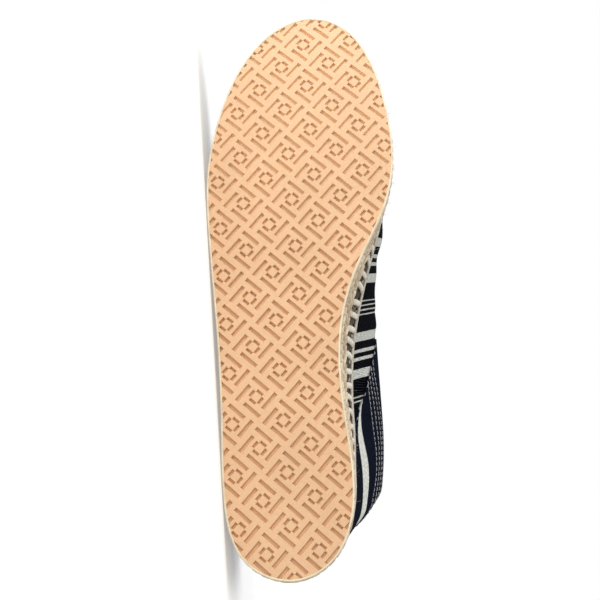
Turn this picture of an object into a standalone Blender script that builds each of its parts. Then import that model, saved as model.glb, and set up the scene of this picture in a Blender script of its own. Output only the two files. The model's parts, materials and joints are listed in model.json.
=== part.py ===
"""Platform espadrille for a right foot, lying on its outer side.

The shoe is worked out standing, from a short table of sections around the sole: x runs from
the heel to the toe, y towards the inner side of the foot, z up from the ground. An empty then
rolls the finished pieces onto the outer side, until sole edge and upper both touch the floor.
"""

import math

import bmesh
import bpy
import numpy as np
from mathutils import Matrix

MM = 0.001

# Driving dimensions of the shoe
SOLE_LENGTH = 253.5 * MM
BALL_WIDTH = 84.6 * MM
INSTEP_HEIGHT = 57.0 * MM
PLATFORM_HEEL = 30.0 * MM
PLATFORM_BALL = 25.0 * MM
TOE_SPRING = 4.0 * MM
GAP = 0.3 * MM

# Where the platform's slope and the toe spring begin and end, from the heel
SLOPE_START = 0.26 * SOLE_LENGTH
SLOPE_END = 0.60 * SOLE_LENGTH
SPRING_START = 0.75 * SOLE_LENGTH

OUTSOLE_THICK = 4.0 * MM
INSOLE_THICK = 3.0 * MM
INSOLE_CLEARANCE = 0.8 * MM

# Rope platform: layers of rope, each a rounded rib on the side
ROPE_LAYERS = 3
ROPE_RIB = 0.9 * MM
ROPE_OVER_OUTSOLE = 0.3 * MM
STEPS_PER_RIB = 4
SOLE_STATIONS = 36

# Canvas shell
CANVAS = 1.5 * MM
QUARTER_LAP = 0.8 * MM
LAP_STEP = 0.6 * MM
UPPER_INSET = 1.2 * MM
AROUND = 78
UP_THE_WALL = 12

# Tread: windmills of sunken slots, turned 45 degrees to the sole
WINDMILL_CELL = 15.4 * MM
WINDMILL_CENTRE = 6.2 * MM
SLOT_LENGTH = 8.6 * MM
SLOT_WIDTH = 1.5 * MM
SLOT_DEPTH = 1.4 * MM
SLOT_EDGE_MARGIN = 1.2 * MM
SLOT_OVERSHOOT = 1.0 * MM

# One row for each section around the sole, from the heel's back along the outer side.
# along, collar_along and lead are hundredths of SOLE_LENGTH; across, flare, bulge and
# collar_across are hundredths of BALL_WIDTH; rise, collar_up and drop are hundredths of
# INSTEP_HEIGHT. flare widens the platform's top, bulge and rise pull the wall out as it
# leaves the sole, lead and drop set the slope in which it reaches the collar.
COLUMNS = ("along", "across", "flare", "bulge", "rise",
           "collar_along", "collar_across", "collar_up", "lead", "drop")
SECTIONS = {
    "heel_back":         ( 0.0,   0.0,  1.0, 3.5, 32,  3.6,   9.5,  93,  1.2, 30),
    "heel_corner_outer": ( 3.6, -23.6,  0.0, 3.5, 32,  6.0,  -9.0,  87,  1.2, 27),
    "heel_outer":        (13.2, -31.8, -1.2, 4.0, 30, 20.0, -22.4,  70,  0.8, 24),
    "seam_outer":        (25.2, -31.1, -1.2, 5.0, 30, 43.2, -27.2,  69,  1.4, 23),
    "waist_outer":       (41.4, -30.5, -1.2, 7.0, 31, 46.6, -24.8,  76,  3.0, 23),
    "ball_rear_outer":   (59.2, -31.9, -1.2, 8.2, 33, 51.2, -18.0,  86,  6.4, 23),
    "ball_outer":        (71.0, -30.4, -0.8, 7.2, 33, 54.0, -10.8,  93,  9.0, 21),
    "toe_outer":         (82.1, -21.7,  0.4, 5.0, 34, 57.2,  -2.0,  97, 12.0, 24),
    "toe_front_outer":   (91.9,  -7.1,  1.0, 3.4, 35, 59.0,   6.0,  99, 17.0, 30),
    "toe_corner_outer":  (97.6,   9.5,  1.0, 2.6, 36, 59.7,  12.4, 100, 20.5, 34),
    "toe_tip":           (100.0,  29.6,  1.0, 2.4, 36, 60.0,  17.7, 100, 22.0, 36),
    "toe_corner_inner":  (97.8,  46.7,  1.0, 2.6, 36, 59.7,  23.0, 100, 20.5, 34),
    "toe_inner":         (91.3,  59.8,  1.0, 3.4, 35, 59.0,  29.6,  99, 17.0, 30),
    "ball_front_inner":  (81.7,  66.5,  0.4, 3.6, 34, 57.2,  36.6,  97, 11.0, 24),
    "ball_inner":        (72.2,  68.1, -1.0, 3.8, 33, 54.2,  41.6,  93,  6.4, 21),
    "ball_rear_inner":   (63.1,  62.4, -2.0, 2.6, 31, 51.5,  48.8,  86,  3.0, 23),
    "waist_front_inner": (51.3,  43.6,  4.4, 4.4, 30, 48.8,  53.8,  78,  1.6, 22),
    "waist_inner":       (41.0,  32.7,  6.4, 3.6, 29, 46.4,  54.6,  72,  0.8, 22),
    "seam_inner":        (25.2,  30.9,  3.8, 4.4, 28, 43.2,  52.8,  68,  0.8, 22),
    "heel_inner":        (16.6,  32.3,  2.0, 5.2, 30, 27.0,  52.2,  67,  0.2, 22),
    "heel_back_inner":   ( 7.9,  28.6,  0.6, 1.4, 31, 14.6,  48.4,  75,  0.4, 24),
    "heel_corner_inner": ( 2.8,  19.2, -0.6, 0.6, 32,  6.1,  20.0,  87,  1.2, 27),
}
SCALES = {"along": SOLE_LENGTH, "collar_along": SOLE_LENGTH, "lead": SOLE_LENGTH,
          "across": BALL_WIDTH, "collar_across": BALL_WIDTH, "flare": BALL_WIDTH,
          "bulge": BALL_WIDTH, "rise": INSTEP_HEIGHT, "collar_up": INSTEP_HEIGHT,
          "drop": INSTEP_HEIGHT}

# Colour, roughness
FINISHES = {
    "outsole": ((0.86, 0.55, 0.31, 1.0), 0.5),
    "rope_midsole": ((0.55, 0.44, 0.30, 1.0), 0.9),
    "insole": ((0.62, 0.53, 0.40, 1.0), 0.9),
    "upper": ((0.012, 0.016, 0.035, 1.0), 0.85),
}


class ClosedSpline:
    """Closed curve through rows of numbers, with its parameter running from 0 to 1.

    The sole's columns run as one smooth cubic spline. The collar's columns keep between their
    rows' values, so that the canvas never folds over itself where the collar turns.
    """

    def __init__(self, rows):
        self.rows = np.asarray(rows, float)
        steps = np.roll(self.rows, -1, axis=0) - self.rows
        self.lengths = np.linalg.norm(steps[:, :2], axis=1)
        self.knots = np.concatenate([[0.0], np.cumsum(self.lengths)])
        ahead = steps / self.lengths[:, None]
        behind = np.roll(ahead, 1, axis=0)
        self.slopes = self._smooth_slopes(ahead, behind)
        collar = slice(COLUMNS.index("collar_along"), None)
        self.slopes[:, collar] = self._steady_slopes(ahead, behind)[:, collar]

    def _smooth_slopes(self, ahead, behind):
        """Slopes at the rows of the closed cubic spline with continuous curvature."""
        count = len(self.rows)
        after, before = 1 / self.lengths, 1 / np.roll(self.lengths, 1)
        matrix = np.diag(2 * (after + before))
        for i in range(count):
            matrix[i, i - 1] += before[i]
            matrix[i, (i + 1) % count] += after[i]
        pull = 3 * (behind * before[:, None] + ahead * after[:, None])
        return np.linalg.solve(matrix, pull)

    def _steady_slopes(self, ahead, behind):
        """Slopes at the rows of a curve that never swings past the rows' own values."""
        same_way = ahead * behind > 0
        total = np.where(same_way, ahead + behind, 1.0)
        return np.where(same_way, 2 * ahead * behind / total, 0.0)

    def share_at(self, row):
        return self.knots[row] / self.knots[-1]

    def at(self, shares):
        place = (np.asarray(shares, float) % 1.0) * self.knots[-1]
        i = np.clip(np.searchsorted(self.knots, place, side="right") - 1, 0, len(self.rows) - 1)
        nxt = (i + 1) % len(self.rows)
        h = self.lengths[i][:, None]
        b = (place - self.knots[i])[:, None] / h
        blend = b * b * (3 - 2 * b)
        bow = h * b * (1 - b) * ((1 - b) * self.slopes[i] - b * self.slopes[nxt])
        return self.rows[i] * (1 - blend) + self.rows[nxt] * blend + bow


def smooth_step(low, high, x):
    t = np.clip((x - low) / (high - low), 0.0, 1.0)
    return t * t * (3 - 2 * t)


def ground(x):
    """Height of the tread above the floor when the shoe stands: flat, then the toe spring."""
    t = np.clip((x - SPRING_START) / (SOLE_LENGTH - SPRING_START), 0.0, 1.2)
    return TOE_SPRING * t**2


def platform_top(x):
    """Height of the rope platform's top, sloping from heel to ball."""
    drop = (PLATFORM_HEEL - PLATFORM_BALL) * smooth_step(SLOPE_START, SLOPE_END, x)
    return PLATFORM_HEEL - drop + ground(x)


def section_spline():
    scales = np.array([SCALES[column] for column in COLUMNS]) / 100
    return ClosedSpline(np.array(list(SECTIONS.values())) * scales)


def columns_at(spline, shares):
    return dict(zip(COLUMNS, spline.at(shares).T))


def outward_normals(spline, shares):
    """Unit normals of the sole's outline, pointing away from the foot."""
    ahead, behind = spline.at(shares + 1e-4), spline.at(shares - 1e-4)
    along = ahead[:, :2] - behind[:, :2]
    normals = np.stack([along[:, 1], -along[:, 0]], axis=1)
    return normals / np.linalg.norm(normals, axis=1)[:, None]


def outline(spline, widen, flare_share=0.0):
    """Loop of plan points: heel's back, outer side to the toe tip, inner side back again.

    Both sides stand at the same distances from the heel, so that caps can be laddered.
    """
    shares = np.linspace(0.0, 1.0, 1200, endpoint=False)
    rows = columns_at(spline, shares)
    out = outward_normals(spline, shares)
    reach = (widen + flare_share * rows["flare"])[:, None]
    plan = np.stack([rows["along"], rows["across"]], axis=1) + out * reach
    heel, toe = int(np.argmin(plan[:, 0])), int(np.argmax(plan[:, 0]))
    ring = np.roll(plan, -heel, axis=0)
    tip = (toe - heel) % len(plan)
    outer, inner = ring[:tip + 1], np.vstack([ring[tip:], ring[:1]])[::-1]
    turn = (1 - np.cos(np.linspace(0, math.pi, SOLE_STATIONS + 1))) / 2
    stations = plan[heel, 0] + turn * (plan[toe, 0] - plan[heel, 0])
    outer_y = np.interp(stations, outer[:, 0], outer[:, 1])
    inner_y = np.interp(stations, inner[:, 0], inner[:, 1])
    outer_y[[0, -1]] = inner_y[[0, -1]] = plan[heel, 1], plan[toe, 1]
    there = np.stack([stations, outer_y], axis=1)
    back = np.stack([stations, inner_y], axis=1)[-2:0:-1]
    return np.vstack([there, back])


def layer(plan, height):
    """A loop at a height that follows the foot: height is a function of x."""
    return np.column_stack([plan, height(plan[:, 0])])


def stacked_solid(name, rings):
    """Closed solid through loops of equal count, with ladder caps below and above."""
    mesh = bpy.data.meshes.new(name)
    model = bmesh.new()
    loops = [[model.verts.new(point) for point in ring] for ring in rings]
    count = len(loops[0])
    for low, high in zip(loops, loops[1:]):
        for i in range(count):
            j = (i + 1) % count
            model.faces.new((low[i], low[j], high[j], high[i]))
    for loop in (loops[0], loops[-1]):
        for k in range(count // 2):
            corners = [loop[k], loop[k + 1], loop[(-k - 1) % count], loop[-k % count]]
            model.faces.new(list(dict.fromkeys(corners)))
    bmesh.ops.recalc_face_normals(model, faces=model.faces)
    model.to_mesh(mesh)
    model.free()
    return new_object(name, mesh, parts)


def new_object(name, mesh, collection):
    made = bpy.data.objects.new(name, mesh)
    collection.objects.link(made)
    return made


def make_outsole(spline):
    plan = outline(spline, 0.0)
    slab = stacked_solid("outsole", [
        layer(plan, ground),
        layer(plan, lambda x: ground(x) + OUTSOLE_THICK),
    ])
    cut = slab.modifiers.new("tread slots", "BOOLEAN")
    cut.operation = "DIFFERENCE"
    cut.solver = "EXACT"
    cut.object = make_slot_cutters(plan)
    return slab


def inside_outline(plan, point, margin):
    """True if the point lies in the outline, at least margin from its edge."""
    nxt = np.roll(plan, -1, axis=0)
    side = nxt - plan
    t = np.clip(((point - plan) * side).sum(1) / (side**2).sum(1), 0, 1)
    nearest = np.linalg.norm(plan + side * t[:, None] - point, axis=1).min()
    crosses = (plan[:, 1] > point[1]) != (nxt[:, 1] > point[1])
    x_there = plan[crosses, 0] + ((point[1] - plan[crosses, 1]) * side[crosses, 0]
                                  / side[crosses, 1])
    return (x_there > point[0]).sum() % 2 == 1 and nearest > margin


def windmill_slots():
    """Middle and turn of the four slots around one windmill's centre."""
    plank = (WINDMILL_CELL - WINDMILL_CENTRE) / 2
    middle = np.array([plank / 2, (WINDMILL_CENTRE + plank) / 2])
    for quarter in range(4):
        angle = math.radians(45 + 90 * quarter)
        c, s = math.cos(angle), math.sin(angle)
        yield np.array([c * middle[0] - s * middle[1], s * middle[0] + c * middle[1]]), angle


def make_slot_cutters(plan):
    """One mesh of boxes, a box for each tread slot that lies well inside the outline."""
    model = bmesh.new()
    reach = int(SOLE_LENGTH / WINDMILL_CELL) + 1
    diagonal = WINDMILL_CELL / math.sqrt(2)
    for i in range(2 * reach):
        for j in range(-reach, reach):
            centre = np.array([(i - j) * diagonal, (i + j) * diagonal])
            for offset, angle in windmill_slots():
                middle = centre + offset
                half = np.array([math.cos(angle), math.sin(angle)]) * SLOT_LENGTH / 2
                ends = (middle - half, middle + half)
                if not all(inside_outline(plan, end, SLOT_EDGE_MARGIN) for end in ends):
                    continue
                floor = float(ground(middle[0]))
                box = (Matrix.Translation((*middle, floor + (SLOT_DEPTH - SLOT_OVERSHOOT) / 2))
                       @ Matrix.Rotation(angle, 4, "Z")
                       @ Matrix.Diagonal((SLOT_LENGTH, SLOT_WIDTH, SLOT_DEPTH + SLOT_OVERSHOOT, 1)))
                bmesh.ops.create_cube(model, size=1.0, matrix=box)
    mesh = bpy.data.meshes.new("slot_cutters")
    model.to_mesh(mesh)
    model.free()
    cutter = new_object("slot_cutters", mesh, cutters)
    cutter.hide_render = True
    cutter.display_type = "WIRE"
    return cutter


def make_rope_midsole(spline):
    """Platform of rope layers: each layer bulges out, and the top flares under the foot."""
    rings = []
    steps = ROPE_LAYERS * STEPS_PER_RIB
    for step in range(steps + 1):
        share = step / steps
        rib = ROPE_RIB * abs(math.sin(math.pi * share * ROPE_LAYERS))
        plan = outline(spline, ROPE_OVER_OUTSOLE + rib, flare_share=share)

        def height(x, share=share):
            low = ground(x) + OUTSOLE_THICK + GAP
            return low + share * (platform_top(x) - low)

        rings.append(layer(plan, height))
    return stacked_solid("rope_midsole", rings)


def make_insole(spline):
    plan = outline(spline, -(UPPER_INSET + CANVAS + INSOLE_CLEARANCE), flare_share=1.0)
    return stacked_solid("insole", [
        layer(plan, lambda x: platform_top(x) + GAP),
        layer(plan, lambda x: platform_top(x) + GAP + INSOLE_THICK),
    ])


def wall_points(spline, shares, heights):
    """Points of the canvas's outer face, a row for each share around and a column up the wall.

    Each section is one cubic curve from the sole's edge to the collar.
    """
    rows = columns_at(spline, shares)
    out = outward_normals(spline, shares)
    foot = np.stack([rows["along"], rows["across"]], axis=1)
    foot += out * (ROPE_OVER_OUTSOLE + rows["flare"] - UPPER_INSET)[:, None]
    foot_z = platform_top(foot[:, 0]) + GAP
    collar = np.stack([rows["collar_along"], rows["collar_across"]], axis=1)
    collar_z = platform_top(collar[:, 0]) + rows["collar_up"]
    corners = [
        np.column_stack([foot, foot_z]),
        np.column_stack([foot + out * rows["bulge"][:, None], foot_z + rows["rise"]]),
        np.column_stack([collar + out * rows["lead"][:, None], collar_z - rows["drop"]]),
        np.column_stack([collar, collar_z]),
    ]
    t = np.asarray(heights)[None, :, None]
    weights = ((1 - t)**3, 3 * t * (1 - t)**2, 3 * t**2 * (1 - t), t**3)
    return sum(weight * corner[:, None, :] for weight, corner in zip(weights, corners))


def seam_shares(spline):
    names = list(SECTIONS)
    return (spline.share_at(names.index("seam_outer")), spline.share_at(names.index("seam_inner")))


def shares_with_seams(spline):
    """Even shares around the sole, with a narrow step at both seams, and whether each is lapped."""
    perimeter = spline.knots[-1]
    outer, inner = seam_shares(spline)
    step = LAP_STEP / perimeter
    shares = np.linspace(0.0, 1.0, AROUND, endpoint=False)
    edges = np.array([outer, outer + step, inner - step, inner])
    clear = np.abs(shares[:, None] - edges[None, :]).min(axis=1) > 0.5 / AROUND
    shares = np.sort(np.concatenate([shares[clear], edges]))
    lapped = (shares <= outer + step / 4) | (shares >= inner - step / 4)
    return shares, lapped


def make_upper(spline):
    """Canvas shell: one closed profile for each section, joined into a ring around the foot.

    A profile goes up the outer face and down the inner one. The rear quarter laps over the
    vamp, so that the outer face steps out at the two slanted seams.
    """
    shares, lapped = shares_with_seams(spline)
    middle = wall_points(spline, shares, np.linspace(0.0, 1.0, UP_THE_WALL + 1))
    around = np.roll(middle, -1, axis=0) - np.roll(middle, 1, axis=0)
    normals = np.cross(around, np.gradient(middle, axis=1))
    normals /= np.linalg.norm(normals, axis=2)[:, :, None]
    outer_face = middle + normals * (QUARTER_LAP * lapped)[:, None, None]
    inner_face = middle - normals * CANVAS
    for face in (outer_face, inner_face):
        face[:, 0, 2] = middle[:, 0, 2]
    profiles = np.concatenate([outer_face, inner_face[:, ::-1]], axis=1)

    mesh = bpy.data.meshes.new("upper")
    model = bmesh.new()
    grid = [[model.verts.new(point) for point in profile] for profile in profiles]
    for left, right in zip(grid, grid[1:] + grid[:1]):
        for k in range(len(left)):
            model.faces.new((left[k - 1], right[k - 1], right[k], left[k]))
    model.to_mesh(mesh)
    model.free()
    return new_object("upper", mesh, parts)


def finish(made, name):
    colour, roughness = FINISHES[name]
    material = bpy.data.materials.new(name)
    material.use_nodes = True
    shader = material.node_tree.nodes["Principled BSDF"]
    shader.inputs["Base Color"].default_value = colour
    shader.inputs["Roughness"].default_value = roughness
    shader.inputs["Metallic"].default_value = 0.0
    made.data.materials.append(material)


def standing_points(made):
    """The object's finished points, with its modifiers, before it is laid down."""
    graph = bpy.context.evaluated_depsgraph_get()
    evaluated = made.evaluated_get(graph)
    mesh = evaluated.to_mesh()
    points = np.array([vertex.co for vertex in mesh.vertices])
    evaluated.to_mesh_clear()
    return points


def lie_on_outer_side(made):
    """Empty that lays the shoe down: toe to -X, tread to -Y, inner side up, then a small roll.

    The roll is the one at which the sole's edge and the upper both touch the floor.
    """
    bpy.context.view_layer.update()
    sole = np.vstack([standing_points(made["outsole"]), standing_points(made["rope_midsole"])])
    canvas = standing_points(made["upper"])

    def lowest(points, roll):
        return (points[:, 1] * math.cos(roll) + points[:, 2] * math.sin(roll)).min()

    low, high = math.radians(-30), math.radians(30)
    for _ in range(60):
        roll = (low + high) / 2
        if lowest(canvas, roll) < lowest(sole, roll):
            low = roll
        else:
            high = roll
    every = np.vstack([sole, canvas])
    deep = every[:, 2] * math.cos(roll) - every[:, 1] * math.sin(roll)
    middle_x = (every[:, 0].min() + every[:, 0].max()) / 2
    middle_y = (deep.min() + deep.max()) / 2
    laid = Matrix(((-1, 0, 0, 0), (0, 0, 1, 0), (0, 1, 0, 0), (0, 0, 0, 1)))
    shift = Matrix.Translation((middle_x, -middle_y, -lowest(every, roll)))
    holder = bpy.data.objects.new("lying_shoe", None)
    parts.objects.link(holder)
    holder.matrix_world = shift @ Matrix.Rotation(roll, 4, "X") @ laid
    for piece in (*made.values(), *cutters.objects):
        piece.parent = holder


for old in list(bpy.data.objects):
    bpy.data.objects.remove(old)
parts = bpy.data.collections.new("platform_espadrille")
cutters = bpy.data.collections.new("cutters")
for collection in (parts, cutters):
    bpy.context.scene.collection.children.link(collection)

sections = section_spline()
pieces = {
    "outsole": make_outsole(sections),
    "rope_midsole": make_rope_midsole(sections),
    "insole": make_insole(sections),
    "upper": make_upper(sections),
}
for piece_name, piece in pieces.items():
    finish(piece, piece_name)
lie_on_outer_side(pieces)
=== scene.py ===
# %% [markdown]
# # A platform espadrille, lying on its outer side
# An espadrille is built from the ground up: a moulded rubber outsole, a platform of braided jute
# rope, and a canvas upper that is sewn to the rope around its edge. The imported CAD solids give
# the true sizes and the place on the floor. This script dresses them: every piece is worked out
# for the standing shoe first, because that is how a shoemaker measures, and is then laid down
# with one matrix.

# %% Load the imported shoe
import json
import math

import bmesh
import bpy
import numpy as np
from mathutils import Matrix, Vector


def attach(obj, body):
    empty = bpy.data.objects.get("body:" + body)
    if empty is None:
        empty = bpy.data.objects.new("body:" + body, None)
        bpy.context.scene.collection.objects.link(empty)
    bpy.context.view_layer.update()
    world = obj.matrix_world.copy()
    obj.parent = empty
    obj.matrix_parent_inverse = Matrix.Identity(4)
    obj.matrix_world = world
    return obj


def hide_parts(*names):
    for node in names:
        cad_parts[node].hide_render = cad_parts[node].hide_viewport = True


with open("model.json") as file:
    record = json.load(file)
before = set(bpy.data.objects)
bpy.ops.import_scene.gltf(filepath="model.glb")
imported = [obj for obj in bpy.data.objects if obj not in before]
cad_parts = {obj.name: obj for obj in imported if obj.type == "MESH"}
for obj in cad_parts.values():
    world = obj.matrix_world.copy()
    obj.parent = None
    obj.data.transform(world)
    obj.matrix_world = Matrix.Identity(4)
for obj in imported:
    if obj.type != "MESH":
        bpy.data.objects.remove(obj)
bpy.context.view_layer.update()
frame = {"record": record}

# %% [markdown]
# ## The shoe's sizes
# All pieces share a few driving sizes and one table of sections around the sole. Each row says
# where the sole's edge is, how far the rope flares, and how the canvas climbs to the collar.
# A closed cubic spline through the rows gives every value at any share of the way around.

# %% Driving sizes and the table of sections
MM = 0.001
SOLE_LENGTH = 253.5 * MM
BALL_WIDTH = 84.6 * MM
INSTEP_HEIGHT = 57.0 * MM
PLATFORM_HEEL = 30.0 * MM
PLATFORM_BALL = 25.0 * MM
TOE_SPRING = 4.0 * MM
SLOPE_START, SLOPE_END = 0.26 * SOLE_LENGTH, 0.60 * SOLE_LENGTH
SPRING_START = 0.75 * SOLE_LENGTH
SPRING_LIMIT = 1.2
GAP = 0.3 * MM
OUTSOLE_THICK = 4.0 * MM
ROPE_OVER_OUTSOLE = 0.3 * MM
ROPE_RIB = 0.9 * MM
HEEL_PRESS = 1.0 * MM
UPPER_INSET = 1.2 * MM
CANVAS = 1.5 * MM
QUARTER_LAP = 0.8 * MM

# what the numbers of each column are hundredths of
COLUMNS = {"along": SOLE_LENGTH, "across": BALL_WIDTH, "flare": BALL_WIDTH, "bulge": BALL_WIDTH,
           "rise": INSTEP_HEIGHT, "collar_along": SOLE_LENGTH, "collar_across": BALL_WIDTH,
           "collar_up": INSTEP_HEIGHT, "lead": SOLE_LENGTH, "drop": INSTEP_HEIGHT}
COLLAR_COLUMNS = slice(list(COLUMNS).index("collar_along"), None)
SECTIONS = {
    "heel_back":         ( 0.0,   0.0,  1.0, 3.5, 32,  3.6,   9.5,  93,  1.2, 30),
    "heel_corner_outer": ( 3.6, -23.6,  0.0, 3.5, 32,  6.0,  -9.0,  87,  1.2, 27),
    "heel_outer":        (13.2, -31.8, -1.2, 4.0, 30, 20.0, -22.4,  70,  0.8, 24),
    "seam_outer":        (25.2, -31.1, -1.2, 5.0, 30, 43.2, -27.2,  69,  1.4, 23),
    "waist_outer":       (41.4, -30.5, -1.2, 7.0, 31, 46.6, -24.8,  76,  3.0, 23),
    "ball_rear_outer":   (59.2, -31.9, -1.2, 8.2, 33, 51.2, -18.0,  86,  6.4, 23),
    "ball_outer":        (71.0, -30.4, -0.8, 7.2, 33, 54.0, -10.8,  93,  9.0, 21),
    "toe_outer":         (82.1, -21.7,  0.4, 5.0, 34, 57.2,  -2.0,  97, 12.0, 24),
    "toe_front_outer":   (91.9,  -7.1,  1.0, 3.4, 35, 59.0,   6.0,  99, 17.0, 30),
    "toe_corner_outer":  (97.6,   9.5,  1.0, 2.6, 36, 59.7,  12.4, 100, 20.5, 34),
    "toe_tip":           (100.0,  29.6,  1.0, 2.4, 36, 60.0,  17.7, 100, 22.0, 36),
    "toe_corner_inner":  (97.8,  46.7,  1.0, 2.6, 36, 59.7,  23.0, 100, 20.5, 34),
    "toe_inner":         (91.3,  59.8,  1.0, 3.4, 35, 59.0,  29.6,  99, 17.0, 30),
    "ball_front_inner":  (81.7,  66.5,  0.4, 3.6, 34, 57.2,  36.6,  97, 11.0, 24),
    "ball_inner":        (72.2,  68.1, -1.0, 3.8, 33, 54.2,  41.6,  93,  6.4, 21),
    "ball_rear_inner":   (63.1,  62.4, -2.0, 2.6, 31, 51.5,  48.8,  86,  3.0, 23),
    "waist_front_inner": (51.3,  43.6,  4.4, 4.4, 30, 48.8,  53.8,  78,  1.6, 22),
    "waist_inner":       (41.0,  32.7,  6.4, 3.6, 29, 46.4,  54.6,  72,  0.8, 22),
    "seam_inner":        (25.2,  30.9,  3.8, 4.4, 28, 43.2,  52.8,  68,  0.8, 22),
    "heel_inner":        (16.6,  32.3,  2.0, 5.2, 30, 27.0,  52.2,  67,  0.2, 22),
    "heel_back_inner":   ( 7.9,  28.6,  0.6, 1.4, 31, 14.6,  48.4,  75,  0.4, 24),
    "heel_corner_inner": ( 2.8,  19.2, -0.6, 0.6, 32,  6.1,  20.0,  87,  1.2, 27),
}


# %% A smooth closed curve through the sections
class ClosedSpline:
    """Closed curve through rows of numbers, with its parameter running from 0 to 1.

    The sole's columns run as one smooth cubic spline. The collar's columns keep between their
    rows' values, so that the canvas never folds over itself where the collar turns.
    """

    def __init__(self, rows):
        self.rows = np.asarray(rows, float)
        steps = np.roll(self.rows, -1, axis=0) - self.rows
        self.lengths = np.linalg.norm(steps[:, :2], axis=1)
        self.knots = np.concatenate([[0.0], np.cumsum(self.lengths)])
        ahead = steps / self.lengths[:, None]
        behind = np.roll(ahead, 1, axis=0)
        self.slopes = self._smooth_slopes(ahead, behind)
        steady = self._steady_slopes(ahead, behind)
        self.slopes[:, COLLAR_COLUMNS] = steady[:, COLLAR_COLUMNS]

    def _smooth_slopes(self, ahead, behind):
        """Slopes at the rows of the closed cubic spline with continuous curvature."""
        count = len(self.rows)
        after, before = 1 / self.lengths, 1 / np.roll(self.lengths, 1)
        matrix = np.diag(2 * (after + before))
        for i in range(count):
            matrix[i, i - 1] += before[i]
            matrix[i, (i + 1) % count] += after[i]
        pull = 3 * (behind * before[:, None] + ahead * after[:, None])
        return np.linalg.solve(matrix, pull)

    @staticmethod
    def _steady_slopes(ahead, behind):
        """Slopes at the rows of a curve that never swings past the rows' own values."""
        same_way = ahead * behind > 0
        total = np.where(same_way, ahead + behind, 1.0)
        return np.where(same_way, 2 * ahead * behind / total, 0.0)

    def share_at(self, name):
        return self.knots[list(SECTIONS).index(name)] / self.knots[-1]

    def at(self, shares):
        place = (np.asarray(shares, float) % 1.0) * self.knots[-1]
        i = np.clip(np.searchsorted(self.knots, place, side="right") - 1, 0, len(self.rows) - 1)
        nxt = (i + 1) % len(self.rows)
        h = self.lengths[i][:, None]
        b = (place - self.knots[i])[:, None] / h
        blend = b * b * (3 - 2 * b)
        bow = h * b * (1 - b) * ((1 - b) * self.slopes[i] - b * self.slopes[nxt])
        return self.rows[i] * (1 - blend) + self.rows[nxt] * blend + bow


scale_row = np.array(list(COLUMNS.values())) / 100
sections = ClosedSpline(np.array(list(SECTIONS.values())) * scale_row)
PERIMETER = sections.knots[-1]
SEAM_OUTER, SEAM_INNER = sections.share_at("seam_outer"), sections.share_at("seam_inner")
print("distance around the sole, mm:", round(PERIMETER / MM, 1))


# %% Heights and edges of the standing shoe
SHARE_STEP = 1e-4


def smooth_step(low, high, x):
    t = np.clip((x - low) / (high - low), 0.0, 1.0)
    return t * t * (3 - 2 * t)


def unit(vectors):
    return vectors / np.linalg.norm(vectors, axis=-1, keepdims=True)


def distance_along(points):
    """How far each point of a line, or of many lines side by side, is from the line's start."""
    steps = np.linalg.norm(np.diff(points, axis=-2), axis=-1)
    return np.concatenate([np.zeros_like(steps[..., :1]), np.cumsum(steps, axis=-1)], axis=-1)


def ground(x):
    """Height of the tread: flat, then the toe spring."""
    t = np.clip((x - SPRING_START) / (SOLE_LENGTH - SPRING_START), 0.0, SPRING_LIMIT)
    return TOE_SPRING * t**2


def platform_top(x):
    drop = (PLATFORM_HEEL - PLATFORM_BALL) * smooth_step(SLOPE_START, SLOPE_END, x)
    return PLATFORM_HEEL - drop + ground(x)


def columns_at(shares):
    return dict(zip(COLUMNS, sections.at(shares).T))


def outward(shares):
    """Unit normals of the sole's edge in plan, pointing away from the foot."""
    along = sections.at(shares + SHARE_STEP)[:, :2] - sections.at(shares - SHARE_STEP)[:, :2]
    return unit(np.stack([along[:, 1], -along[:, 0]], axis=1))


def edge(shares, widen, flare_share=0.0):
    """Plan points of the sole's edge, moved outwards."""
    rows = columns_at(shares)
    reach = (widen + flare_share * rows["flare"])[:, None]
    return np.stack([rows["along"], rows["across"]], axis=1) + outward(shares) * reach


def heel_press(shares):
    """How far the rope's upper edge is pressed in by wear, on the inner side of the heel."""
    starts = smooth_step(SEAM_INNER, sections.share_at("heel_inner"), shares)
    return HEEL_PRESS * starts * smooth_step(1.0, sections.share_at("heel_back_inner"), shares)


def up_the_platform(plan, height_share):
    """Plan points raised to a share of the rope's height, from its bottom 0 to its top 1."""
    low = ground(plan[:, 0]) + OUTSOLE_THICK + GAP
    return np.column_stack([plan, low + height_share * (platform_top(plan[:, 0]) - low)])


def platform_side(shares, height_share, widen):
    """Points on the rope platform's side, at a share of its height."""
    reach = ROPE_OVER_OUTSOLE + widen - height_share * heel_press(shares)
    return up_the_platform(edge(shares, reach, height_share), height_share)


# %% [markdown]
# ## Laying the shoe down
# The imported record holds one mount: a point on the tread and the way the tread faces. Together
# with the rule that the toe points to -X this fixes the whole turn, so no angle is typed in.

# %% The matrix from the standing shoe to the lying one
TREAD_CELL = 15.4 * MM
# the mount lies on the heel's middle line, this many half diagonals of a cell from its back
MOUNT_STEPS = 12
TREAD_POINT = Vector((MOUNT_STEPS * TREAD_CELL / math.sqrt(2), 0, 0))
tread_mount = frame["record"]["mounts"][0]
up_axis = -Vector(tread_mount["axis"]).normalized()
toe_axis = Vector((-1, 0, 0))
turn = Matrix((toe_axis, up_axis.cross(toe_axis), up_axis)).transposed()
LYING = Matrix.Translation(Vector(tread_mount["pos_m"]) - turn @ TREAD_POINT) @ turn.to_4x4()


def new_piece(name, data, *materials):
    for material in materials:
        data.materials.append(material)
    made = bpy.data.objects.new(name, data)
    bpy.context.scene.collection.objects.link(made)
    return made


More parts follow.
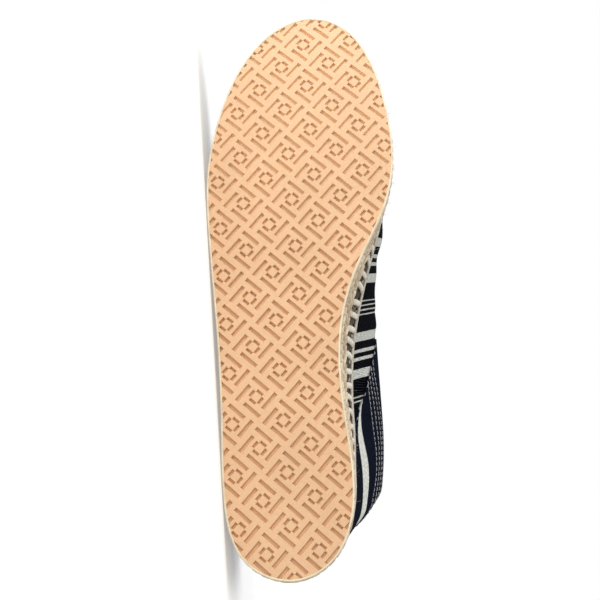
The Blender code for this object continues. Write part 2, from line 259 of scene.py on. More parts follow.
def seat(piece, slot, *replaced):
    """Lays a finished piece down, pressed flat where it lies on the floor, and fixes it."""
    mesh = piece.data
    mesh.transform(LYING)
    points = np.empty(len(mesh.vertices) * 3)
    mesh.vertices.foreach_get("co", points)
    sunk = -points[2::3].min() / MM
    points[2::3] = np.maximum(points[2::3], 0.0)
    mesh.vertices.foreach_set("co", points)
    mesh.update()
    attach(piece, "root")
    if replaced:
        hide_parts(*replaced)
    mesh.calc_loop_triangles()
    print(piece.name, "triangles:", len(mesh.loop_triangles),
          "pressed up by, mm:", round(max(sunk, 0), 2))


# %% [markdown]
# ## Short words for materials and node trees
# Node trees are wordy in Python. One small class keeps the later cells readable: it adds a node
# and wires or sets its inputs, by name or by position. A finish is such a tree with a Principled
# shader at its end. A geometry tree has a mesh at both ends, and named inputs.

# %% Helpers for all node trees
class Nodes:
    """A node tree, with short words for the nodes that are used most."""

    def __init__(self, tree):
        self.tree = tree

    def put(self, socket, value):
        """Links an input to another node's socket, or sets its plain value."""
        if isinstance(value, bpy.types.NodeSocket):
            self.tree.links.new(value, socket)
        else:
            socket.default_value = (*value, 1) if socket.type == "RGBA" else value

    def add(self, kind, slots=(), props=None, **named):
        """Adds a node. Its inputs are given by position in slots, or by name."""
        node = self.tree.nodes.new(kind)
        for key, value in (props or {}).items():
            setattr(node, key, value)
        for position, value in enumerate(slots):
            self.put(node.inputs[position], value)
        for key, value in named.items():
            self.put(node.inputs[key.replace("_", " ")], value)
        return node

    def math(self, operation, *values):
        return self.add("ShaderNodeMath", values, {"operation": operation}).outputs[0]

    def vector(self, operation, *values):
        return self.add("ShaderNodeVectorMath", values, {"operation": operation}).outputs[0]


# %% Helpers for materials
class Finish(Nodes):
    """One Principled material, with short words for the nodes that feed it."""

    def __init__(self, name, colour, roughness, **constants):
        self.material = bpy.data.materials.new(name)
        self.material.use_nodes = True
        super().__init__(self.material.node_tree)
        self.wear(Base_Color=colour, Roughness=roughness, **constants)

    def wear(self, **sockets):
        """Sets or links inputs of the shader."""
        shader = self.tree.nodes["Principled BSDF"]
        for key, value in sockets.items():
            self.put(shader.inputs[key.replace("_", " ")], value)
        return self.material

    def attribute(self, name, output="Fac"):
        return self.add("ShaderNodeAttribute", props={"attribute_name": name}).outputs[output]

    def place(self):
        return self.add("ShaderNodeTexCoord").outputs["Object"]

    def noise(self, vector, scale, detail=3.0, roughness=0.55):
        return self.add("ShaderNodeTexNoise", Vector=vector, Scale=scale, Detail=detail,
                        Roughness=roughness).outputs["Fac"]

    def fibres(self, vector, scales, detail=3.0, roughness=0.55):
        """Noise with its own scale along each axis."""
        return self.noise(self.vector("MULTIPLY", vector, scales), 1.0, detail, roughness)

    def ramp(self, factor, stops, interpolation="LINEAR"):
        """Colour ramp; stops are (position, colour)."""
        node = self.add("ShaderNodeValToRGB", Fac=factor)
        node.color_ramp.interpolation = interpolation
        elements = node.color_ramp.elements
        while len(elements) < len(stops):
            elements.new(1.0)
        for element, (position, colour) in zip(elements, stops):
            element.position = position
            element.color = (*colour, 1)
        return node.outputs["Color"]

    def mix(self, factor, first, second, blend="MIX"):
        node = self.add("ShaderNodeMix", props={"data_type": "RGBA", "blend_type": blend})
        for position, value in ((0, factor), (6, first), (7, second)):
            self.put(node.inputs[position], value)
        return node.outputs[2]

    def tint(self, colour, by):
        return self.mix(1.0, colour, by, "MULTIPLY")

    def bump(self, height, distance, strength=1.0):
        return self.add("ShaderNodeBump", Height=height, Distance=distance,
                        Strength=strength).outputs["Normal"]


# %% Helpers for geometry nodes
def geometry_tree(name, sizes):
    """Geometry node tree with a mesh input, named inputs and a mesh output."""
    tree = bpy.data.node_groups.new(name, "GeometryNodeTree")
    for key, kind in {"Geometry": "Geometry", **sizes}.items():
        tree.interface.new_socket(key, in_out="INPUT", socket_type="NodeSocket" + kind)
    tree.interface.new_socket("Geometry", in_out="OUTPUT", socket_type="NodeSocketGeometry")
    given = tree.nodes.new("NodeGroupInput").outputs
    return Nodes(tree), given, tree.nodes.new("NodeGroupOutput").inputs["Geometry"]


def grow(piece, tree, **values):
    """Runs a tree on a piece with the given inputs, and keeps the result as its plain mesh."""
    modifier = piece.modifiers.new(tree.name, "NODES")
    modifier.node_group = tree
    for item in tree.interface.items_tree:
        if item.in_out == "INPUT" and item.name in values:
            modifier[item.identifier] = values[item.name]
    graph = bpy.context.evaluated_depsgraph_get()
    mesh = bpy.data.meshes.new_from_object(piece.evaluated_get(graph))
    piece.modifiers.clear()
    piece.data = mesh
    mesh.name = piece.name


# %% [markdown]
# ## Closed shapes from loops
# The outsole, the rope's core and the insole are stacks of closed loops. Each loop is laddered:
# its outer and inner side have points at the same distances from the heel, so that the flat
# caps are strips across the foot and still bend with the toe spring.

# %% Meshes from points
def write_attribute(mesh, name, values):
    """Stores one number, or one vector, with each point of a mesh."""
    flat = np.asarray(values, float)
    kind, key = ("FLOAT_VECTOR", "vector") if flat.ndim == 2 else ("FLOAT", "value")
    mesh.attributes.new(name, kind, "POINT").data.foreach_set(key, flat.ravel())


def tube_mesh(name, points, endless=True):
    """Smooth mesh of quads from points [along, around, 3], closed around."""
    n, m = points.shape[:2]
    i, j = (index.ravel() for index in np.mgrid[:n if endless else n - 1, :m])
    i2, j2 = (i + 1) % n, (j + 1) % m
    quads = np.stack([i * m + j, i2 * m + j, i2 * m + j2, i * m + j2], axis=1)
    mesh = bpy.data.meshes.new(name)
    mesh.from_pydata(points.reshape(-1, 3).tolist(), [], quads.tolist())
    mesh.shade_smooth()
    return mesh


def bridge(model, rings):
    """Quads from each ring of points to the next."""
    for low, high in zip(rings, rings[1:]):
        for i in range(len(low)):
            model.faces.new((low[i - 1], low[i], high[i], high[i - 1]))


def closed_mesh(name, model):
    """Mesh of a closed model, with its faces turned outwards."""
    bmesh.ops.recalc_face_normals(model, faces=model.faces)
    mesh = bpy.data.meshes.new(name)
    model.to_mesh(mesh)
    model.free()
    return mesh


# %% Laddered loops and stacked solids
EDGE_POINTS = 1600


def ladder_loop(widen, flare_share=0.0, stations=80):
    """Closed plan loop: heel's back, outer side to the toe tip, inner side back again."""
    plan = edge(np.linspace(0.0, 1.0, EDGE_POINTS, endpoint=False), widen, flare_share)
    heel, toe = int(np.argmin(plan[:, 0])), int(np.argmax(plan[:, 0]))
    ring = np.roll(plan, -heel, axis=0)
    tip = (toe - heel) % len(plan)
    outer, inner = ring[:tip + 1], np.vstack([ring[tip:], ring[:1]])[::-1]
    turns = (1 - np.cos(np.linspace(0, math.pi, stations + 1))) / 2
    x = plan[heel, 0] + turns * (plan[toe, 0] - plan[heel, 0])
    outer_y, inner_y = (np.interp(x, side[:, 0], side[:, 1]) for side in (outer, inner))
    outer_y[[0, -1]] = inner_y[[0, -1]] = plan[heel, 1], plan[toe, 1]
    return np.vstack([np.column_stack([x, outer_y]), np.column_stack([x, inner_y])[-2:0:-1]])


def stacked_mesh(name, rings):
    """Closed mesh through loops of equal count, with ladder caps below and above."""
    model = bmesh.new()
    loops = [[model.verts.new(point) for point in ring] for ring in rings]
    bridge(model, loops)
    count = len(loops[0])
    for loop in (loops[0], loops[-1]):
        for k in range(count // 2):
            corners = [loop[k], loop[k + 1], loop[(-k - 1) % count], loop[-k % count]]
            model.faces.new(list(dict.fromkeys(corners)))
    return closed_mesh(name, model)


# %% [markdown]
# ## The camera, the floor and the light
# The photograph looks square at the tread from in front of the heel, so the toe is farther away
# and the sole tapers towards it. The camera stands at that place, given in the standing shoe's
# millimetres, and is rolled so that the toe points up in the picture. The floor and the light
# are plain and pale, with the brighter side towards the toe. The floor glows a little, like a
# light table, which keeps the shade under the shoe soft.

# %% Camera
CAMERA_PLACE = Vector((20.5, 20, -406)) * MM
CAMERA_AIM = Vector((117, 11, 0)) * MM
CAMERA_LENS_MM = 57.5
CAMERA_SENSOR_MM = 36
CAMERA_NEAR = 0.01
CAMERA_ROLL = math.radians(4.5)

camera = new_piece("camera", bpy.data.cameras.new("camera"))
bpy.context.scene.camera = camera
camera.data.lens = CAMERA_LENS_MM
camera.data.sensor_width = CAMERA_SENSOR_MM
camera.data.clip_start = CAMERA_NEAR
sight = (LYING @ CAMERA_AIM - LYING @ CAMERA_PLACE).normalized()
picture_up = Matrix.Rotation(CAMERA_ROLL, 3, sight) @ toe_axis
picture_up = (picture_up - sight * picture_up.dot(sight)).normalized()
camera_turn = Matrix((sight.cross(picture_up), picture_up, -sight)).transposed()
camera.matrix_world = Matrix.Translation(LYING @ CAMERA_PLACE) @ camera_turn.to_4x4()
print("camera height above the floor, mm:", round(camera.location.z / MM))

# %% Floor and surroundings
FLOOR_SIZE = 6.0
FLOOR_SHADE, FLOOR_GLOW = 0.70, 0.28
SKY_STRENGTH = 0.56
WHITE = (1, 1, 1)

floor_mesh = bpy.data.meshes.new("floor")
half = FLOOR_SIZE / 2
floor_mesh.from_pydata([(-half, -half, 0), (half, -half, 0), (half, half, 0), (-half, half, 0)],
                       [], [(0, 1, 2, 3)])
pale = Finish("pale floor", (FLOOR_SHADE,) * 3, 0.9, Specular_IOR_Level=0.1,
              Emission_Color=WHITE, Emission_Strength=FLOOR_GLOW)
grain = pale.noise(pale.place(), 900.0)
floor = new_piece("floor", floor_mesh, pale.wear(Normal=pale.bump(grain, 0.05 * MM, 0.3)))

world = bpy.data.worlds.new("studio")
bpy.context.scene.world = world
world.use_nodes = True
sky = Nodes(world.node_tree)
seen = sky.add("ShaderNodeLightPath").outputs["Is Camera Ray"]
glow = sky.add("ShaderNodeMapRange", (seen, 0.0, 1.0, SKY_STRENGTH, 1.0)).outputs[0]
backdrop = world.node_tree.nodes["Background"].inputs
sky.put(backdrop["Color"], WHITE)
sky.put(backdrop["Strength"], glow)
bpy.context.scene.view_settings.view_transform = "Standard"
print("floor, m across:", FLOOR_SIZE)

# %% Lamps
SUN_ANGLE = math.radians(40)
TOE_LAMP_PLACE = Vector((-0.25, -0.17, 0.11))
TOE_LAMP_AIM = Vector((-0.10, -0.04, 0.04))
# kind, the way it shines, and its settings
LAMPS = {
    "front_sun": ("SUN", Vector((0.70, 0.68, -0.10)), {"energy": 2.12, "angle": SUN_ANGLE}),
    "top_sun": ("SUN", Vector((0.10, 0.05, -1.0)), {"energy": 1.4, "angle": SUN_ANGLE}),
    "toe_lamp": ("AREA", TOE_LAMP_AIM - TOE_LAMP_PLACE, {"energy": 0.20, "size": 0.16}),
}

for name, (kind, way, settings) in LAMPS.items():
    light = bpy.data.lights.new(name, kind)
    for key, value in settings.items():
        setattr(light, key, value)
    lamp = new_piece(name, light)
    lamp.rotation_euler = way.to_track_quat("-Z", "Y").to_euler()
    # where a sun stands makes no difference, so the toe lamp's place does for all
    lamp.location = TOE_LAMP_PLACE
print("lamps:", ", ".join(LAMPS))

# %% [markdown]
# ## The outsole's rubber
# The outsole is one rubber sheet with a tread of short sunken bars. The pattern is a windmill:
# four long bars run around a square pad, and four short bars frame the pad. It repeats on a
# lattice turned 45 degrees and runs off the edge. One drafted cutter is modelled for a single
# windmill, Geometry Nodes put a copy on each lattice point, and one Boolean sinks them all.

# %% One windmill of tread cutters
PAD_SIDE = 6.2 * MM
LONG_BAR = (8.6 * MM, 1.5 * MM)
SHORT_BAR = (3.0 * MM, 1.1 * MM)
BAR_DEPTH = 1.4 * MM
SHORT_BAR_INSET = 0.7 * MM
# height above the tread plane, and how far the bar's wall stands outside its named size
BAR_PROFILE = ((-0.6 * MM, 0.7 * MM), (0.0, 0.2 * MM), (0.3 * MM, 0.02 * MM),
               (BAR_DEPTH - 0.4 * MM, -0.05 * MM), (BAR_DEPTH, -0.3 * MM))


def turned(u, v, angle):
    """A point of the plan, turned about the middle."""
    c, s = math.cos(angle), math.sin(angle)
    return c * u - s * v, s * u + c * v


def windmill_cutter():
    """Eight drafted bars with softened rim and root, each a stack of four-cornered rings."""
    plank = (TREAD_CELL - PAD_SIDE) / 2
    places = ((LONG_BAR, plank / 2, (PAD_SIDE + plank) / 2),
              (SHORT_BAR, 0.0, PAD_SIDE / 2 - SHORT_BAR_INSET))
    model = bmesh.new()
    for (length, width), u, v in places:
        for quarter in range(4):
            rings = []
            for height, grow_by in BAR_PROFILE:
                a, b = length / 2 + grow_by, width / 2 + grow_by
                corners = ((u - a, v - b), (u + a, v - b), (u + a, v + b), (u - a, v + b))
                rings.append([model.verts.new((*turned(*corner, quarter * math.pi / 2), height))
                              for corner in corners])
            bridge(model, rings)
            model.faces.new(rings[0][::-1])
            model.faces.new(rings[-1])
    return new_piece("windmill_cutter", closed_mesh("windmill_cutter", model))


# %% Sink the windmills into the sheet with Geometry Nodes
TREAD_CELLS = 21
TREAD_REACH = (0.145, 0.075, 1.0)
LATTICE_TURN = (0, 0, math.pi / 4)


def tread_tree():
    nodes, given, result = geometry_tree("sunken tread", {
        "Cutter": "Object", "Cell": "Float", "Cells": "Int", "Middle": "Vector",
        "Reach": "Vector", "Rubber": "Material"})
    span = nodes.math("MULTIPLY", nodes.math("SUBTRACT", given["Cells"], 1), given["Cell"])
    grid = nodes.add("GeometryNodeMeshGrid", (span, span, given["Cells"], given["Cells"]))
    lattice = nodes.add("GeometryNodeTransform", Geometry=grid.outputs["Mesh"],
                        Translation=given["Middle"], Rotation=LATTICE_TURN)
    place = nodes.add("GeometryNodeInputPosition").outputs[0]
    away = nodes.vector("ABSOLUTE", nodes.vector("SUBTRACT", place, given["Middle"]))
    beyond = nodes.add("ShaderNodeSeparateXYZ", (nodes.vector("SUBTRACT", away, given["Reach"]),))
    farthest = nodes.math("MAXIMUM", beyond.outputs[0], beyond.outputs[1])
    outside = nodes.add("FunctionNodeCompare", (farthest, 0.0), {"operation": "GREATER_THAN"})
    kept = nodes.add("GeometryNodeDeleteGeometry", (lattice.outputs[0], outside.outputs[0]),
                     {"domain": "POINT"})
    cutter = nodes.add("GeometryNodeObjectInfo", Object=given["Cutter"])
    copies = nodes.add("GeometryNodeInstanceOnPoints", Points=kept.outputs[0],
                       Instance=cutter.outputs["Geometry"], Rotation=LATTICE_TURN)
    solid = nodes.add("GeometryNodeRealizeInstances", (copies.outputs[0],))
    cut = nodes.add("GeometryNodeMeshBoolean", (),
                    {"operation": "DIFFERENCE", "solver": "EXACT"}, Mesh_1=given["Geometry"],
                    Mesh_2=solid.outputs[0], Self_Intersection=True)
    final = nodes.add("GeometryNodeSetMaterial", Geometry=cut.outputs["Mesh"],
                      Material=given["Rubber"])
    nodes.put(result, final.outputs[0])
    return nodes.tree


# %% Rubber, and the finished outsole
# painted light lifts the shade in the bars, from none at the waist to this share at the toe
TOE_BAR_LIGHT = 0.95
BAR_LIGHT_SPAN = (0.42 * SOLE_LENGTH, 0.95 * SOLE_LENGTH)
# how far each loop of the sheet stands out, and its height
SHEET_SOFTNESS = 0.35 * MM
SHEET_LOOPS = ((-SHEET_SOFTNESS, 0.0), (0.0, SHEET_SOFTNESS), (0.0, OUTSOLE_THICK))


def rubber_finish():
    rubber = Finish("peach rubber", (0.80, 0.47, 0.25), 0.52, Specular_IOR_Level=0.35)
    place = rubber.place()
    cloud = rubber.noise(place, 28.0, 4.0)
    grain = rubber.noise(place, 1500.0, 2.0)
    tone = rubber.ramp(cloud, ((0.3, (0.68, 0.42, 0.235)), (0.7, (0.74, 0.465, 0.265))))
    # the bars are painted paler than the rubber: painted light that lifts their shade
    lit_bar_tone = rubber.mix(rubber.attribute("dust"), tone, (0.86, 0.61, 0.37))
    speck = rubber.ramp(grain, ((0.35, (0.93, 0.93, 0.93)), (0.6, (1.0, 1.0, 1.0))))
    roughness = rubber.add("ShaderNodeMapRange", (cloud, 0.2, 0.8, 0.46, 0.6)).outputs[0]
    return rubber.wear(Base_Color=rubber.tint(lit_bar_tone, speck), Roughness=roughness,
                       Normal=rubber.bump(grain, 0.06 * MM, 0.6))


def make_outsole():
    rings = []
    for widen, height in SHEET_LOOPS:
        plan = ladder_loop(widen)
        rings.append(np.column_stack([plan, np.full(len(plan), height)]))
    sheet = new_piece("outsole_tread", stacked_mesh("outsole_tread", rings))
    cutter = windmill_cutter()
    grow(sheet, tread_tree(), Cutter=cutter, Cell=TREAD_CELL, Cells=TREAD_CELLS,
         Middle=TREAD_POINT, Reach=TREAD_REACH, Rubber=rubber_finish())
    bpy.data.objects.remove(cutter)
    points = np.array([vertex.co for vertex in sheet.data.vertices])
    x, z = points[:, 0], points[:, 2]
    # painted light in the bars: more the deeper a point lies in a bar, and more towards the toe
    in_bar = np.clip(z / BAR_DEPTH, 0, 1) * (z < OUTSOLE_THICK / 2)
    write_attribute(sheet.data, "dust", in_bar * TOE_BAR_LIGHT * smooth_step(*BAR_LIGHT_SPAN, x))
    points[:, 2] += ground(x)
    sheet.data.vertices.foreach_set("co", points.ravel())
    sheet.data.update()
    seat(sheet, "outsole_rubber", "outsole")


make_outsole()

# %% [markdown]
# ## The pale rim around the outsole
# Seen from the side, the rubber sheet shows a thin cream edge between the tread and the rope.
# It is a narrow band that follows the sole's outline: a small profile carried around the loop.

# %% Rim band
# the band's section: millimetres outwards and up
RIM_PROFILE = ((-0.45, -0.06), (0.12, -0.06), (0.38, 0.22), (0.4, 3.6), (0.1, 4.0), (-0.45, 4.0))
RIM_POINTS = 420


def rim_mesh():
    shares = np.arange(RIM_POINTS) / RIM_POINTS
    rings = []
    for widen, height in RIM_PROFILE:
        plan = edge(shares, widen * MM)
        rings.append(np.column_stack([plan, ground(plan[:, 0]) + height * MM]))
    return tube_mesh("outsole_rim", np.stack(rings, axis=1))


def rim_finish():
    cream = Finish("cream rim", (0.72, 0.62, 0.45), 0.55)
    cloud = cream.noise(cream.place(), 120.0, 4.0)
    tone = cream.ramp(cloud, ((0.3, (0.62, 0.51, 0.35)), (0.7, (0.78, 0.68, 0.50))))
    return cream.wear(Base_Color=tone, Normal=cream.bump(cloud, 0.2 * MM, 0.4))


seat(new_piece("outsole_rim", rim_mesh(), rim_finish()), "outsole_rubber")

# %% [markdown]
# ## The jute platform
# The platform is rope, coiled and pressed, with a plaited rope laid around its side. What shows
# are short leaning strands: two rows per rope, leaning opposite ways like a herringbone. Modelled
# one by one that would be hundreds of pieces, so one strand is modelled and Geometry Nodes lay
# it on points that carry the way along the edge, the way outwards and the lean. A core inside
# closes the gaps between the strands; it is coloured dark, as painted shade. The uppermost rows
# lie deeper and are coloured dark too, as painted shade of the stitches that cross them.

# %% Core of the platform
ROPE_ROWS = 6
CORE_INSET = 1.9 * MM
# for each loop: its share of the platform's height, and millimetres outwards
CORE_LOOPS = ((0.0, -0.6), (0.02, 0.0), (0.98, 0.0), (1.0, -0.8))


def core_rings():
    reach = ROPE_OVER_OUTSOLE + ROPE_RIB - CORE_INSET
    return [up_the_platform(ladder_loop(reach + widen * MM, height_share), height_share)
            for height_share, widen in CORE_LOOPS]


def core_finish():
    # the core is coloured as dark jute: painted shade in the gaps between the strands
    dark = Finish("shaded jute", (0.20, 0.145, 0.09), 0.95)
    fibre = dark.fibres(dark.place(), (300.0, 1500.0, 1500.0), 4.0)
    tone = dark.ramp(fibre, ((0.35, (0.10, 0.07, 0.04)), (0.7, (0.30, 0.22, 0.14))))
    return dark.wear(Base_Color=tone, Normal=dark.bump(fibre, 0.4 * MM))


core = new_piece("rope_core", stacked_mesh("rope_core", core_rings()), core_finish())
seat(core, "jute_rope", "rope_midsole")

# %% A spindle: the shape of one strand, and of one stitch
SPINDLE_END = 0.06


def spindle(name, length, width, depth, path, rings=7, sides=8, blunt=4.0):
    """Tapered strand along X; path(s) gives its middle line (y, z) for s from -1 to 1."""
    model = bmesh.new()
    angles = np.arange(sides) * 2 * math.pi / sides
    loops = []
    for s in np.sin(np.linspace(-1, 1, rings) * math.pi / 2):
        swell = max(1.0 - abs(s) ** blunt, SPINDLE_END) ** 0.5 / 2
        y, z = path(s)
        loops.append([model.verts.new((s * length / 2, y + math.cos(a) * width * swell,
                                       z + math.sin(a) * depth * swell)) for a in angles])
    bridge(model, [loop[::-1] for loop in loops])
    model.faces.new(loops[0])
    model.faces.new(loops[-1][::-1])
    mesh = closed_mesh(name, model)
    mesh.shade_smooth()
    write_attribute(mesh, "strand", [vertex.co for vertex in mesh.vertices])
    return new_piece(name, mesh)


# %% Lay copies on points with Geometry Nodes
def laying_tree():
    """Copies one piece to every point: X runs along, Z faces out, turned by the point's lean."""
    nodes, given, result = geometry_tree("lay along an edge", {
        "Piece": "Object", "Uneven Size": "Float", "Uneven Turn": "Float", "Seed": "Int",
        "Material": "Material"})

    def read(name, kind):
        node = nodes.add("GeometryNodeInputNamedAttribute", (name,), {"data_type": kind})
        return node.outputs[0]

    def uneven(amount, middle, offset):
        node = nodes.add("FunctionNodeRandomValue", props={"data_type": "FLOAT"})
        nodes.put(node.inputs[2], nodes.math("SUBTRACT", middle, amount))
        nodes.put(node.inputs[3], nodes.math("ADD", middle, amount))
        nodes.put(node.inputs[8], nodes.math("ADD", given["Seed"], offset))
        return node.outputs[1]

    base = nodes.add("FunctionNodeAxesToRotation", (),
                     {"primary_axis": "X", "secondary_axis": "Z"},
                     Primary_Axis=read("run", "FLOAT_VECTOR"),
                     Secondary_Axis=read("out", "FLOAT_VECTOR"))
    lean = nodes.add("FunctionNodeAxisAngleToRotation", Axis=(0, 0, 1),
                     Angle=uneven(given["Uneven Turn"], read("lean", "FLOAT"), 1.0))
    turn_both = nodes.add("FunctionNodeRotateRotation", (base.outputs[0], lean.outputs[0]),
                          {"rotation_space": "LOCAL"})
    piece = nodes.add("GeometryNodeObjectInfo", Object=given["Piece"])
    copies = nodes.add("GeometryNodeInstanceOnPoints", Points=given["Geometry"],
                       Instance=piece.outputs["Geometry"], Rotation=turn_both.outputs[0],
                       Scale=uneven(given["Uneven Size"], read("size", "FLOAT"), 2.0))
    tone = nodes.add("GeometryNodeStoreNamedAttribute", (),
                     {"data_type": "FLOAT", "domain": "INSTANCE"},
                     Geometry=copies.outputs[0], Name="tone")
    value = next(s for s in tone.inputs if s.name == "Value" and s.enabled)
    # a tone of its own for every copy, from 0 to 1
    nodes.put(value, uneven(0.5, 0.5, 3.0))
    real = nodes.add("GeometryNodeRealizeInstances", (tone.outputs[0],))
    final = nodes.add("GeometryNodeSetMaterial", Geometry=real.outputs[0],
                      Material=given["Material"])
    nodes.put(result, final.outputs[0])
    return nodes.tree


LAYING = laying_tree()


def lay(name, copied, places, material, slot, *replaced, uneven, lean=0.0, size=1.0, seed=1):
    """Seated piece of copies: one on each point, with the ways along and out of it.

    The two numbers of uneven say how much the size and the turn vary.
    """
    points, run, out = places
    mesh = bpy.data.meshes.new(name)
    mesh.from_pydata(np.asarray(points).tolist(), [], [])
    write_attribute(mesh, "run", run)
    write_attribute(mesh, "out", out)
    write_attribute(mesh, "lean", np.broadcast_to(lean, len(points)))
    write_attribute(mesh, "size", np.broadcast_to(size, len(points)))
    piece = new_piece(name, mesh)
    grow(piece, LAYING, Piece=copied, Material=material, Seed=seed,
         **{"Uneven Size": uneven[0], "Uneven Turn": uneven[1]})
    print(name, "copies:", len(points))
    seat(piece, slot, *replaced)


# %% Where the strands lie
STRAND_PITCH = 4.2 * MM
STRAND_LENGTH, STRAND_WIDTH, STRAND_DEPTH = 6.6 * MM, 3.5 * MM, 2.6 * MM
STRAND_LEAN = math.radians(37)
FIRST_DEEP_ROW = 4
DEEP_BY, OTHERS_DEEP_BY = 1.1 * MM, 0.1 * MM
WAIST_START, WAIST_END = map(sections.share_at, ("ball_rear_inner", "heel_inner"))
SIDE_STEP, HEIGHT_STEP = 5e-4, 0.02
SIDE_POINTS = 2401


def even_shares(height_share, widen, pitch):
    """Shares around the platform's side that are one pitch apart."""
    fine = np.linspace(0.0, 1.0, SIDE_POINTS)
    run = distance_along(platform_side(fine, height_share, widen))
    count = int(round(run[-1] / pitch))
    return np.interp(np.arange(count) * run[-1] / count, run, fine)


def side_frame(shares, height_share, widen):
    """Points on the platform's side with the ways along it and out of it."""
    run = unit(platform_side(shares + SIDE_STEP, height_share, widen)
               - platform_side(shares - SIDE_STEP, height_share, widen))
    up = (platform_side(shares, height_share + HEIGHT_STEP, widen)
          - platform_side(shares, height_share - HEIGHT_STEP, widen))
    return platform_side(shares, height_share, widen), run, unit(np.cross(run, up))


def lies_deep(row, shares):
    """The uppermost rows lie deep all around, and one more row does along the waist; deep strands
    get painted shade.
    """
    at_waist = (shares > WAIST_START) & (shares < WAIST_END)
    return at_waist if row == FIRST_DEEP_ROW - 1 else np.full(len(shares), row >= FIRST_DEEP_ROW)


def strand_rows(deep):
    """All strands that lie deep, or all others: places, the ways along and out, and leans."""
    rows = []
    for row in range(ROPE_ROWS):
        height_share = (row + 0.5) / ROPE_ROWS
        widen = ROPE_RIB - STRAND_DEPTH / 2 - (DEEP_BY if deep else OTHERS_DEEP_BY)
        shares = even_shares(height_share, widen, STRAND_PITCH)
        shares = shares + (row % 2) * 0.5 / len(shares)
        shares = shares[lies_deep(row, shares) == deep]
        points, run, out = side_frame(shares, height_share, widen)
        lean = np.full(len(points), STRAND_LEAN if row % 2 else -STRAND_LEAN)
        rows.append((points, run, out, lean))
    return [np.concatenate(parts) for parts in zip(*rows)]


def jute_finish(name, shadowed, middling, sunlit):
    jute = Finish(name, middling, 0.92, Sheen_Weight=0.1, Specular_IOR_Level=0.2)
    tone = jute.attribute("tone")
    apart = jute.add("ShaderNodeCombineXYZ", (jute.math("MULTIPLY", tone, 0.37), tone, tone))
    place = jute.vector("ADD", jute.attribute("strand", "Vector"), apart.outputs[0])
    streak = jute.fibres(place, (250.0, 3200.0, 3200.0), 4.0, 0.6)
    pale = jute.ramp(streak, ((0.28, shadowed), (0.5, middling), (0.72, sunlit)))
    worn = jute.ramp(tone, ((0.0, (0.72, 0.70, 0.66)), (0.55, (1.0, 0.98, 0.95)),
                            (1.0, (1.12, 1.12, 1.12))))
    return jute.wear(Base_Color=jute.tint(pale, worn), Normal=jute.bump(streak, 0.6 * MM, 0.9))


# %% The plaited side
JUTE = jute_finish("jute strands", (0.24, 0.17, 0.10), (0.63, 0.515, 0.365), (0.90, 0.80, 0.63))
# the deep strands are coloured dark: painted shade of the stitches that cross them
PAINTED_SHADE_JUTE = jute_finish("shaded strands",
                        (0.04, 0.03, 0.02), (0.09, 0.07, 0.05), (0.21, 0.17, 0.12))
strand = spindle("strand", STRAND_LENGTH, STRAND_WIDTH, STRAND_DEPTH,
                 lambda s: (0.45 * MM * math.sin(s * math.pi), -0.35 * MM * s * s))
for name, deep, jute, seed in (("rope_plait", False, JUTE, 1), ("upper_plait", True, PAINTED_SHADE_JUTE, 3)):
    *places, lean = strand_rows(deep)
    lay(name, strand, places, jute, "jute_rope", "rope_midsole",
        uneven=(0.07, 0.09), lean=lean, seed=seed)
bpy.data.objects.remove(strand)

# %% [markdown]
# ## The canvas upper
# The upper is two pieces of striped twill: a vamp over the toes and a quarter around the heel,
# which laps over the vamp at two slanted seams. The shell follows the last: from the sole's edge
# each section climbs along one Bezier curve to the collar. The cloth has a real thickness, a
# folded collar, and creases that are placed one by one as soft troughs with ridges beside them.

# %% Face of the canvas
AROUND, UP_THE_WALL, FOLD_STEPS = 400, 54, 6
COLLAR_FOLD = 0.4 * MM
CREASE_BOW = 3.0 * MM
CREASE_FADES_IN, CREASE_FADES_OUT = (-0.25, 0.3), (1.25, 0.7)
RIDGE_SHARE, RIDGE_PLACE = 0.55, 2.0
# from and to are places on the cloth: a section's name and a share of the way up the wall
CREASES = (
    # from section       up    to section          up    width mm  depth mm
    ("waist_front_inner", 0.10, "ball_inner",        0.62, 3.4, 0.5),
    ("ball_rear_inner",   0.12, "ball_front_inner",  0.55, 4.0, 0.7),
    ("ball_front_inner",  0.20, "toe_inner",         0.66, 4.4, 0.9),
    ("waist_inner",       0.70, "ball_rear_inner",   0.80, 3.0, 0.5),
    ("seam_inner",        0.30, "heel_inner",        0.62, 4.2, 0.5),
    ("heel_inner",        0.20, "heel_back_inner",   0.55, 4.4, 0.5),
    ("heel_back_inner",   0.35, "heel_corner_inner", 0.75, 4.0, 0.7),
    ("toe_corner_outer",  0.45, "toe_corner_inner",  0.47, 5.0, 0.8),
    ("toe_front_outer",   0.62, "toe_outer",         0.40, 4.6, 0.9),
    ("ball_outer",        0.60, "ball_rear_outer",   0.25, 4.2, 1.0),
    ("waist_outer",       0.65, "seam_outer",        0.40, 4.0, 0.9),
    ("heel_outer",        0.70, "heel_corner_outer", 0.35, 4.2, 1.0),
)


def wall(shares, heights):
    """Outer face of the canvas: points [around, up, 3]; heights run from 0 to 1."""
    rows = columns_at(shares)
    out = outward(shares)
    foot = edge(shares, ROPE_OVER_OUTSOLE - UPPER_INSET, 1.0)
    foot_z = platform_top(foot[:, 0]) + GAP
    collar = np.column_stack([rows["collar_along"], rows["collar_across"]])
    collar_z = platform_top(collar[:, 0]) + rows["collar_up"]
    corners = (np.column_stack([foot, foot_z]),
               np.column_stack([foot + out * rows["bulge"][:, None], foot_z + rows["rise"]]),
               np.column_stack([collar + out * rows["lead"][:, None], collar_z - rows["drop"]]),
               np.column_stack([collar, collar_z]))
    t = np.asarray(heights)[None, :, None]
    weights = ((1 - t)**3, 3 * t * (1 - t)**2, 3 * t**2 * (1 - t), t**3)
    return sum(weight * corner[:, None, :] for weight, corner in zip(weights, corners))


